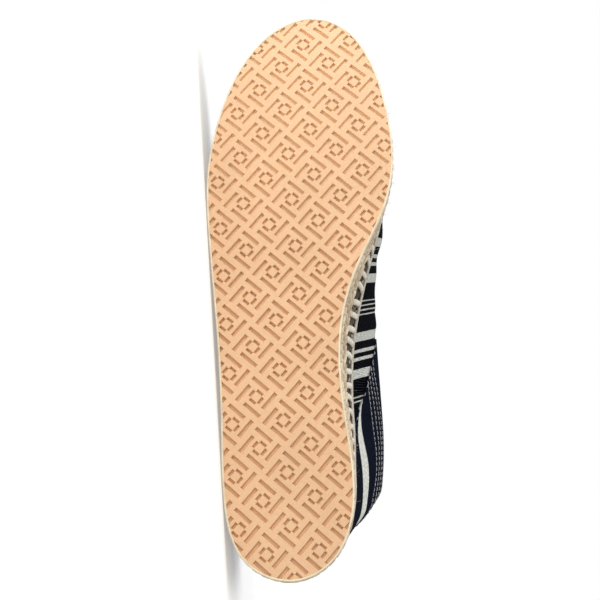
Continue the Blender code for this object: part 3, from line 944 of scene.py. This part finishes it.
def crease_relief(shares, heights):
    """Sum of the troughs and their ridges, in metres outwards, on the grid of the wall."""
    around, up = np.meshgrid(shares * PERIMETER, heights * INSTEP_HEIGHT, indexing="ij")
    relief = np.zeros_like(around)
    for first, first_up, second, second_up, width, depth in CREASES:
        a = np.array([sections.share_at(first) * PERIMETER, first_up * INSTEP_HEIGHT])
        b = np.array([sections.share_at(second) * PERIMETER, second_up * INSTEP_HEIGHT])
        way = b - a
        along = ((around - a[0]) * way[0] + (up - a[1]) * way[1]) / (way @ way)
        aside = ((around - a[0]) * way[1] - (up - a[1]) * way[0]) / np.linalg.norm(way)
        fade = smooth_step(*CREASE_FADES_IN, along) * smooth_step(*CREASE_FADES_OUT, along)
        bow = aside - CREASE_BOW * np.sin(np.clip(along, 0, 1) * math.pi)
        trough = np.exp(-(bow / (width * MM))**2)
        ridges = np.exp(-((np.abs(bow) - RIDGE_PLACE * width * MM) / (width * MM))**2)
        relief += fade * depth * MM * (RIDGE_SHARE * ridges - trough)
    return relief


# %% Grid of the upper
SEAM_STEP = 0.25 * MM / PERIMETER
# in seam steps: the grid's columns at a seam, and how far the even columns keep off them
SEAM_COLUMNS, SEAM_KEEP_OFF = (-3, -1, 0, 1, 3), 2.5
# shares of the way up the wall where creases begin, end, and the collar's fold starts
CREASES_BEGIN, CREASES_END, FOLD_STARTS = (0.0, 0.12), (1.0, 0.9), (0.90, 0.93)
INNER_CREASE_SHARE = 0.8


def cloth_shares():
    """Even shares around, closer together at both seams; and how far each is lapped, 0 to 1."""
    even = np.linspace(0.0, 1.0, AROUND, endpoint=False)
    fine = np.array(SEAM_COLUMNS) * SEAM_STEP
    edges = np.concatenate([SEAM_OUTER + fine, SEAM_INNER + fine])
    clear = np.abs(even[:, None] - edges[None, :]).min(axis=1) > SEAM_KEEP_OFF * SEAM_STEP
    shares = np.sort(np.concatenate([even[clear], edges]))
    lapped = (1 - smooth_step(SEAM_OUTER - SEAM_STEP, SEAM_OUTER + SEAM_STEP, shares)
              + smooth_step(SEAM_INNER - SEAM_STEP, SEAM_INNER + SEAM_STEP, shares))
    return shares, lapped


SHARES, LAPPED = cloth_shares()
HEIGHTS = np.linspace(0.0, 1.0, UP_THE_WALL + 1)
bare_wall = wall(SHARES, HEIGHTS)
along_wall = np.roll(bare_wall, -1, axis=0) - np.roll(bare_wall, 1, axis=0)
NORMALS = unit(np.cross(along_wall, np.gradient(bare_wall, axis=1)))
calm_ends = smooth_step(*CREASES_BEGIN, HEIGHTS) * smooth_step(*CREASES_END, HEIGHTS)
relief = crease_relief(SHARES, HEIGHTS) * calm_ends
fold = COLLAR_FOLD * smooth_step(*FOLD_STARTS, HEIGHTS)
lift = relief + (QUARTER_LAP * LAPPED)[:, None] + fold
OUTER = bare_wall + NORMALS * lift[:, :, None]
INNER = bare_wall + NORMALS * (INNER_CREASE_SHARE * relief - CANVAS)[:, :, None]
ABOVE = distance_along(OUTER)
BELOW = ABOVE[:, -1:] - ABOVE
heights_mm = np.quantile(ABOVE[:, -1], (0, 0.5, 1)) / MM
print("canvas from sole to collar, mm:", np.round(heights_mm, 1))


def folded_collar():
    """Rounded rim from the outer to the inner face: points [around, fold step, 3]."""
    outer, inner = OUTER[:, -1], INNER[:, -1]
    middle, arm = (outer + inner) / 2, (outer - inner) / 2
    up = unit(OUTER[:, -1] - OUTER[:, -3]) * np.linalg.norm(arm, axis=1)[:, None]
    angles = np.linspace(0, math.pi, FOLD_STEPS + 2)[1:-1]
    return np.stack([middle + arm * math.cos(a) + up * math.sin(a) for a in angles], axis=1)


# %% Cloth: striped twill outside, plain lining inside
STRIPE_START = 116.9 * MM
STRIPE_HALF = 22.5 * MM
STRIPE_END = STRIPE_START - 2 * STRIPE_HALF
STRIPE_LEAN = 0.25
# where the light threads of the vamp's warp begin and end, mm from a stripe group's middle
VAMP_STRIPES = ((0.77, 1.37), (2.9, 3.5), (11.65, 15.95), (19.8, 21.4))
# the quarter has one light stripe, mm above the rope; it is drawn up at the seams, and it climbs
# towards the heel's back
QUARTER_STRIPES = ((2.2, 8.7),)
QUARTER_REACH = 70.0
SEAM_DRAW, SEAM_DRAW_REACH = 13.0 * MM, 5.0 * MM
HEEL_CLIMB = 20.5 * MM
# over the toe the cloth runs down the front as well as forwards
TOE_WRAP, TOE_CROWN = 0.26, 40.0 * MM
TOE_START, TOE_FULL = 0.78 * SOLE_LENGTH, 0.97 * SOLE_LENGTH
# across the vamp the threads run over the foot's middle line and down both sides
VAMP_MIDDLE, VAMP_BEND = 0.177 * BALL_WIDTH, 25.0 * MM
VAMP_ASIDE_SHARE, VAMP_DROP_SHARE = 0.4, 1.5
TWILL_PITCH = 1.3 * MM
THREAD_WOBBLE = 0.7 * MM


def stripe_stops(stripes, reach):
    stops = [(0.0, (0, 0, 0))]
    for first, last in stripes:
        stops += [(first / reach, (1, 1, 1)), (last / reach, (0, 0, 0))]
    return stops


def twill_finish():
    twill = Finish("striped twill", (0.02, 0.022, 0.03), 0.95, Specular_IOR_Level=0.02)
    weave = twill.attribute("weave", "Vector")
    threads = twill.fibres(weave, (900.0, 2600.0, 1.0), 3.0, 0.6)
    slub = twill.fibres(weave, (60.0, 2600.0, 1.0), 2.0)
    wobble = twill.math("MULTIPLY", twill.math("SUBTRACT", slub, 0.5), THREAD_WOBBLE)
    along = twill.math("ADD", twill.attribute("stripe"), wobble)
    mirrored = twill.math("PINGPONG", twill.math("SUBTRACT", along, STRIPE_START), STRIPE_HALF)
    vamp = twill.ramp(twill.math("DIVIDE", mirrored, STRIPE_HALF),
                      stripe_stops(VAMP_STRIPES, STRIPE_HALF / MM), "CONSTANT")
    vamp = twill.math("MULTIPLY", vamp, twill.math("GREATER_THAN", along, STRIPE_END))
    above = twill.math("ADD", twill.attribute("above"), wobble)
    quarter = twill.ramp(twill.math("DIVIDE", above, QUARTER_REACH * MM),
                         stripe_stops(QUARTER_STRIPES, QUARTER_REACH), "CONSTANT")
    on_quarter = twill.attribute("quarter")
    light = twill.mix(on_quarter, vamp, quarter)
    pale = twill.ramp(threads, ((0.30, (0.20, 0.21, 0.21)), (0.48, (0.50, 0.51, 0.47)),
                                (0.66, (0.76, 0.77, 0.70))))
    place = twill.add("ShaderNodeSeparateXYZ", (weave,))
    slant = twill.math("SUBTRACT", place.outputs[1], place.outputs[0])
    rib = twill.math("SINE", twill.math("MULTIPLY", slant, 2 * math.pi / TWILL_PITCH))
    height = twill.math("ADD", twill.math("MULTIPLY", rib, 0.45), threads)
    navy = twill.ramp(height, ((0.45, (0.0006, 0.0008, 0.0017)), (0.72, (0.0033, 0.0044, 0.0085)),
                               (1.0, (0.028, 0.033, 0.046))))
    # the vamp's light stripes and navy are darker than the quarter's, and the quarter's navy is
    # bluer
    pale_by_piece = twill.mix(on_quarter, (0.82, 0.82, 0.82), (1.18, 1.18, 1.18))
    navy_by_piece = twill.mix(on_quarter, (0.5, 0.5, 0.5), (0.72, 0.88, 1.25))
    colour = twill.mix(light, twill.tint(navy, navy_by_piece), twill.tint(pale, pale_by_piece))
    return twill.wear(Base_Color=colour, Normal=twill.bump(height, 0.22 * MM, 0.8))


def lining_finish():
    lining = Finish("ecru lining", (0.52, 0.47, 0.38), 0.95, Specular_IOR_Level=0.15)
    threads = lining.fibres(lining.attribute("weave", "Vector"), (1700.0, 1700.0, 1.0))
    tone = lining.ramp(threads, ((0.3, (0.40, 0.355, 0.27)), (0.7, (0.60, 0.55, 0.45))))
    return lining.wear(Base_Color=tone, Normal=lining.bump(threads, 0.3 * MM, 0.8))


# %% Where each point lies on the cloth
def down_both_faces(outside):
    """Values of the outer face, carried over the fold and down the inner face."""
    fold_values = np.repeat(outside[:, -1:], FOLD_STEPS, axis=1)
    return np.concatenate([outside, fold_values, outside[:, ::-1]], axis=1)


def write_cloth_places(mesh, points):
    """Attributes of the canvas: place along the stripes, on the quarter, and in the weave."""
    shape = points.shape[:2]
    from_seam = np.minimum(np.abs(SHARES - SEAM_OUTER), np.abs(SHARES - SEAM_INNER)) * PERIMETER
    to_back = np.maximum(1 - SHARES / SEAM_OUTER, (SHARES - SEAM_INNER) / (1 - SEAM_INNER))
    climbed = HEEL_CLIMB * np.sin(np.clip(to_back, 0, 1) * math.pi / 2)
    drawn_up = SEAM_DRAW * np.exp(-from_seam / SEAM_DRAW_REACH)
    above = down_both_faces(ABOVE) - (drawn_up + climbed)[:, None]
    x, y, z = np.moveaxis(points, 2, 0)
    climb = z - platform_top(x)
    stripe = (x - STRIPE_LEAN * climb
              + TOE_WRAP * smooth_step(TOE_START, TOE_FULL, x) * (TOE_CROWN - climb))
    quarter = np.broadcast_to(LAPPED[:, None], shape)
    for name, values in (("stripe", stripe), ("above", above), ("quarter", quarter)):
        write_attribute(mesh, name, values.ravel())
    aside = y - VAMP_MIDDLE
    over_foot = (VAMP_ASIDE_SHARE * aside
                 + VAMP_DROP_SHARE * np.tanh(aside / VAMP_BEND) * (TOE_CROWN - climb))
    across = np.where(quarter > 0.5, (SHARES * PERIMETER)[:, None], over_foot)
    up = np.where(quarter > 0.5, down_both_faces(BELOW), stripe)
    write_attribute(mesh, "weave", np.stack([across, up, 0 * up], axis=2).reshape(-1, 3))


# %% The finished upper
def make_upper():
    points = np.concatenate([OUTER, folded_collar(), INNER[:, ::-1]], axis=1)
    mesh = tube_mesh("upper_canvas", points)
    write_cloth_places(mesh, points)
    made = new_piece("upper_canvas", mesh, twill_finish(), lining_finish())
    row = np.tile(np.arange(points.shape[1]), len(points))
    inside = (row > UP_THE_WALL + FOLD_STEPS // 2).astype(int)
    mesh.polygons.foreach_set("material_index", inside)
    seat(made, "striped_canvas", "upper")


make_upper()

# %% [markdown]
# ## The insole
# A cotton footbed lies on the rope inside the canvas. Its edge is rounded and its top follows
# the platform, so it is a stack of four loops with a soft shoulder.

# %% Insole
INSOLE_THICK = 3.0 * MM
INSOLE_CLEARANCE = 0.8 * MM
# for each loop: millimetres inwards, and its share of the thickness
INSOLE_LOOPS = ((0.0, 0.0), (0.0, 0.55), (0.25, 0.85), (0.9, 1.0))
INSOLE_CRISP = math.radians(50)


def insole_rings():
    rings = []
    inset = UPPER_INSET + CANVAS + INSOLE_CLEARANCE
    for inwards, height in INSOLE_LOOPS:
        plan = ladder_loop(ROPE_OVER_OUTSOLE - inset - inwards * MM, 1.0)
        level = platform_top(plan[:, 0]) + GAP + height * INSOLE_THICK
        rings.append(np.column_stack([plan, level]))
    return rings


def insole_finish():
    cotton = Finish("insole cotton", (0.5, 0.44, 0.33), 0.95, Specular_IOR_Level=0.15)
    threads = cotton.fibres(cotton.place(), (1500.0, 1500.0, 1500.0))
    cloud = cotton.noise(cotton.place(), 60.0)
    tone = cotton.ramp(threads, ((0.3, (0.40, 0.35, 0.26)), (0.7, (0.60, 0.54, 0.42))))
    worn = cotton.ramp(cloud, ((0.3, (0.85, 0.84, 0.82)), (0.7, (1.0, 1.0, 1.0))))
    return cotton.wear(Base_Color=cotton.tint(tone, worn),
                       Normal=cotton.bump(threads, 0.3 * MM, 0.8))


insole = new_piece("footbed", stacked_mesh("footbed", insole_rings()), insole_finish())
insole.data.shade_smooth()
insole.data.set_sharp_from_angle(angle=INSOLE_CRISP)
seat(insole, "insole_cloth", "insole")

# %% [markdown]
# ## Stitches
# Cream thread holds the shoe together: a cord runs along the rope's upper edge, and blanket
# stitches reach from it down the rope's side. Finer thread runs in four rows below the collar of
# the quarter, beside both seams and around the throat. Each row is a line on the cloth that is
# walked in even steps, and the same Geometry Nodes tree lays one modelled stitch on every step.

# %% Lines on the cloth
WALK_STEP = 0.3 * MM


def line_on_cloth(above):
    """Points and normals of a line on the canvas, given its distance above the rope per column."""
    points, normals = [], []
    for column, distance in enumerate(above):
        place = np.interp(distance, ABOVE[column], HEIGHTS)
        points.append([np.interp(place, HEIGHTS, OUTER[column, :, k]) for k in range(3)])
        normals.append([np.interp(place, HEIGHTS, NORMALS[column, :, k]) for k in range(3)])
    return np.array(points), np.array(normals)


def walk(points, normals, pitch, phase=0.5):
    """Even steps along a line: places, the way along it and the way out of it."""
    run = distance_along(points)
    count = int(run[-1] / pitch)
    marks = (np.arange(count) + phase) * run[-1] / count

    def at(values, places):
        return np.column_stack([np.interp(places, run, values[:, k]) for k in range(3)])

    ahead = at(points, np.minimum(marks + WALK_STEP, run[-1]))
    behind = at(points, np.maximum(marks - WALK_STEP, 0.0))
    return at(points, marks), unit(ahead - behind), unit(at(normals, marks))


def thread_finish(name, dark, light):
    thread = Finish(name, light, 0.85, Sheen_Weight=0.1, Specular_IOR_Level=0.25)
    parts = thread.add("ShaderNodeSeparateXYZ", (thread.attribute("strand", "Vector"),))
    slant = thread.math("ADD", parts.outputs[0], thread.math("MULTIPLY", parts.outputs[1], 0.8))
    twist = thread.math("SINE", thread.math("MULTIPLY", slant, 9000.0))
    fibre = thread.noise(thread.place(), 1800.0, 3.0)
    tone = thread.ramp(fibre, ((0.3, dark), (0.65, light)))
    height = thread.math("ADD", thread.math("MULTIPLY", twist, 0.5), fibre)
    return thread.wear(Base_Color=tone, Normal=thread.bump(height, 0.2 * MM, 0.8))


# the white thread is coloured grey rather than white: painted shade
WHITE_THREAD_IN_SHADE = thread_finish("white thread", (0.24, 0.24, 0.25), (0.46, 0.46, 0.46))
CREAM_THREAD = thread_finish("cream cord", (0.50, 0.44, 0.35), (0.83, 0.78, 0.68))

# %% Cord along the rope's upper edge
THREAD_SIDES = 8
CORD_RADIUS = 0.74 * MM
CORD_STEP = 1.4 * MM
CORD_OUT, CORD_UP = 0.35 * MM, 0.35 * MM


def round_thread(name, middle, wide, deep, radius, distance, endless=True):
    """Thread swept along a line; wide and deep are the half axes of its section."""
    angles = np.arange(THREAD_SIDES) * 2 * math.pi / THREAD_SIDES
    ring = [middle + wide * math.cos(a) + deep * math.sin(a) for a in angles]
    mesh = tube_mesh(name, np.stack(ring, axis=1), endless)
    along = np.repeat(distance, THREAD_SIDES)
    around = np.tile(angles, len(middle)) * radius
    write_attribute(mesh, "strand", np.column_stack([along, around, 0 * along]))
    return mesh


def make_cord():
    shares = even_shares(1.0, CORD_OUT, CORD_STEP)
    places, along, out = side_frame(shares, 1.0, CORD_OUT)
    places = places + np.array([0.0, 0.0, CORD_UP])
    mesh = round_thread("blanket_cord", places, CORD_RADIUS * out,
                        CORD_RADIUS * np.cross(out, along), CORD_RADIUS,
                        np.arange(len(places)) * CORD_STEP)
    seat(new_piece("blanket_cord", mesh, CREAM_THREAD), "striped_canvas")


make_cord()

# %% Blanket stitches over the rope's upper edge
BLANKET_PITCH = 6.4 * MM
BLANKET_RADIUS, BLANKET_FLATNESS = 0.8 * MM, 1.8
BLANKET_HALF = 5.0 * MM
BLANKET_STATIONS = np.linspace(-1, 1, 11)
# middle line of one stitch: from the cord over the edge, down the side and into the rope (up, out)
BLANKET_LINE = ((-0.1, -0.3), (-1.2, 0.0), (-2.6, 0.15), (-5.8, 0.3), (-9.2, 0.2), (-10.6, -0.9))


def blanket_stitch():
    """One thick stitch: a round thread swept along its middle line, standing across the edge."""
    corners = np.linspace(-1, 1, len(BLANKET_LINE))
    up, out = (np.interp(BLANKET_STATIONS, corners, line) * MM
               for line in np.array(BLANKET_LINE[::-1]).T)
    middle = np.column_stack([0 * up, up, out])
    across = np.array([1.0, 0.0, 0.0])
    outwards = np.cross(across, unit(np.gradient(middle, axis=0)))
    mesh = round_thread("blanket_stitch", middle, BLANKET_RADIUS * BLANKET_FLATNESS * across,
                        BLANKET_RADIUS * outwards, BLANKET_RADIUS,
                        BLANKET_STATIONS * BLANKET_HALF, endless=False)
    return new_piece("blanket_stitch", mesh)


stitch = blanket_stitch()
places = side_frame(even_shares(1.0, 0.0, BLANKET_PITCH), 1.0, 0.0)
lay("blanket_stitches", stitch, places, CREAM_THREAD, "striped_canvas",
    uneven=(0.06, 0.12), seed=5)
bpy.data.objects.remove(stitch)

# %% Fine rows of stitches on the canvas
FINE_PITCH = 2.4 * MM
FINE_LENGTH, FINE_WIDTH, FINE_DEPTH = 2.3 * MM, 0.38 * MM, 0.42 * MM
SEAM_PITCH = 4.6 * MM
SEAM_ROW_INWARDS = 1.4 * MM
SEAM_ROW_SPAN = slice(3, UP_THE_WALL - 1)
HEM_ROW = 3.2 * MM
# mm above the rope, least mm below the collar, and the share of a pitch before the first stitch
TOP_ROWS = ((31.2, 17.6, 0.15), (35.8, 13.2, 0.6), (40.2, 8.8, 0.35), (44.7, 4.6, 0.85))
fine = spindle("fine_stitch", FINE_LENGTH, FINE_WIDTH, FINE_DEPTH,
               lambda s: (0.0, 0.22 * MM - 0.45 * MM * s * s), rings=6, sides=6)


def quarter_order():
    """Columns of the quarter in order around the heel, from the inner seam to the outer one."""
    columns = np.arange(len(SHARES))
    rear = columns[(SHARES > SEAM_INNER) & (SHARES < 1.0)]
    return np.concatenate([rear, columns[SHARES < SEAM_OUTER]])


def fine_rows():
    rows = []
    quarter = quarter_order()
    collar = ABOVE[:, -1]
    for above, below, phase in TOP_ROWS:
        points, normals = line_on_cloth(np.minimum(above * MM, collar - below * MM))
        rows.append(walk(points[quarter], normals[quarter], FINE_PITCH, phase))
    hem_start, hem_end = sections.share_at("ball_rear_outer"), sections.share_at("ball_rear_inner")
    throat = np.where((SHARES > hem_start) & (SHARES < hem_end))[0]
    points, normals = line_on_cloth(collar - HEM_ROW)
    rows.append(walk(points[throat], normals[throat], FINE_PITCH))
    for seam, way in ((SEAM_OUTER, -1), (SEAM_INNER, 1)):
        column = int(np.argmin(np.abs(SHARES - seam - way * SEAM_ROW_INWARDS / PERIMETER)))
        rows.append(walk(OUTER[column, SEAM_ROW_SPAN], NORMALS[column, SEAM_ROW_SPAN],
                         SEAM_PITCH))
    return [np.concatenate(parts) for parts in zip(*rows)]


lay("fine_stitches", fine, fine_rows(), WHITE_THREAD_IN_SHADE, "striped_canvas",
    uneven=(0.08, 0.06), seed=9)
bpy.data.objects.remove(fine)

# %% [markdown]
# ## Loose fibres
# Jute sheds. About a hundred fine hairs stand out from the rope where it is rubbed, along the
# inner side. Their places come from a fixed seed, so every run gives the same fuzz.

# %% Fuzz on the rope
FUZZ_COUNT = 110
HAIR_LENGTH, HAIR_WIDTH = 5.5 * MM, 0.12 * MM
FUZZ_SHARES = (0.46, 0.93)
FUZZ_LOWEST = 0.15
FUZZ_DEPTH = 0.7 * MM
FUZZ_TILT = 0.8
FUZZ_SIZES = (0.4, 1.0)
dice = np.random.default_rng(11)
hair = spindle("hair", HAIR_LENGTH, HAIR_WIDTH, HAIR_WIDTH,
               lambda s: (1.0 * MM * s * s, 1.2 * MM * (s + 0.6) ** 2), sides=4, blunt=6.0)
places, runs, outs = [], [], []
for _ in range(FUZZ_COUNT):
    share = np.array([dice.uniform(*FUZZ_SHARES)])
    height_share = FUZZ_LOWEST + (1 - FUZZ_LOWEST) * dice.random()
    point, along, away = side_frame(share, height_share, ROPE_RIB - FUZZ_DEPTH)
    mixed = along[0] * dice.uniform(-1, 1) + np.array([0, 0, dice.uniform(-FUZZ_TILT, FUZZ_TILT)])
    places.append(point[0])
    runs.append(unit(mixed))
    outs.append(away[0])
lay("loose_fibres", hair, (places, runs, outs), JUTE, "jute_rope",
    uneven=(0.1, 1.2), size=dice.uniform(*FUZZ_SIZES, FUZZ_COUNT), seed=13)
bpy.data.objects.remove(hair)
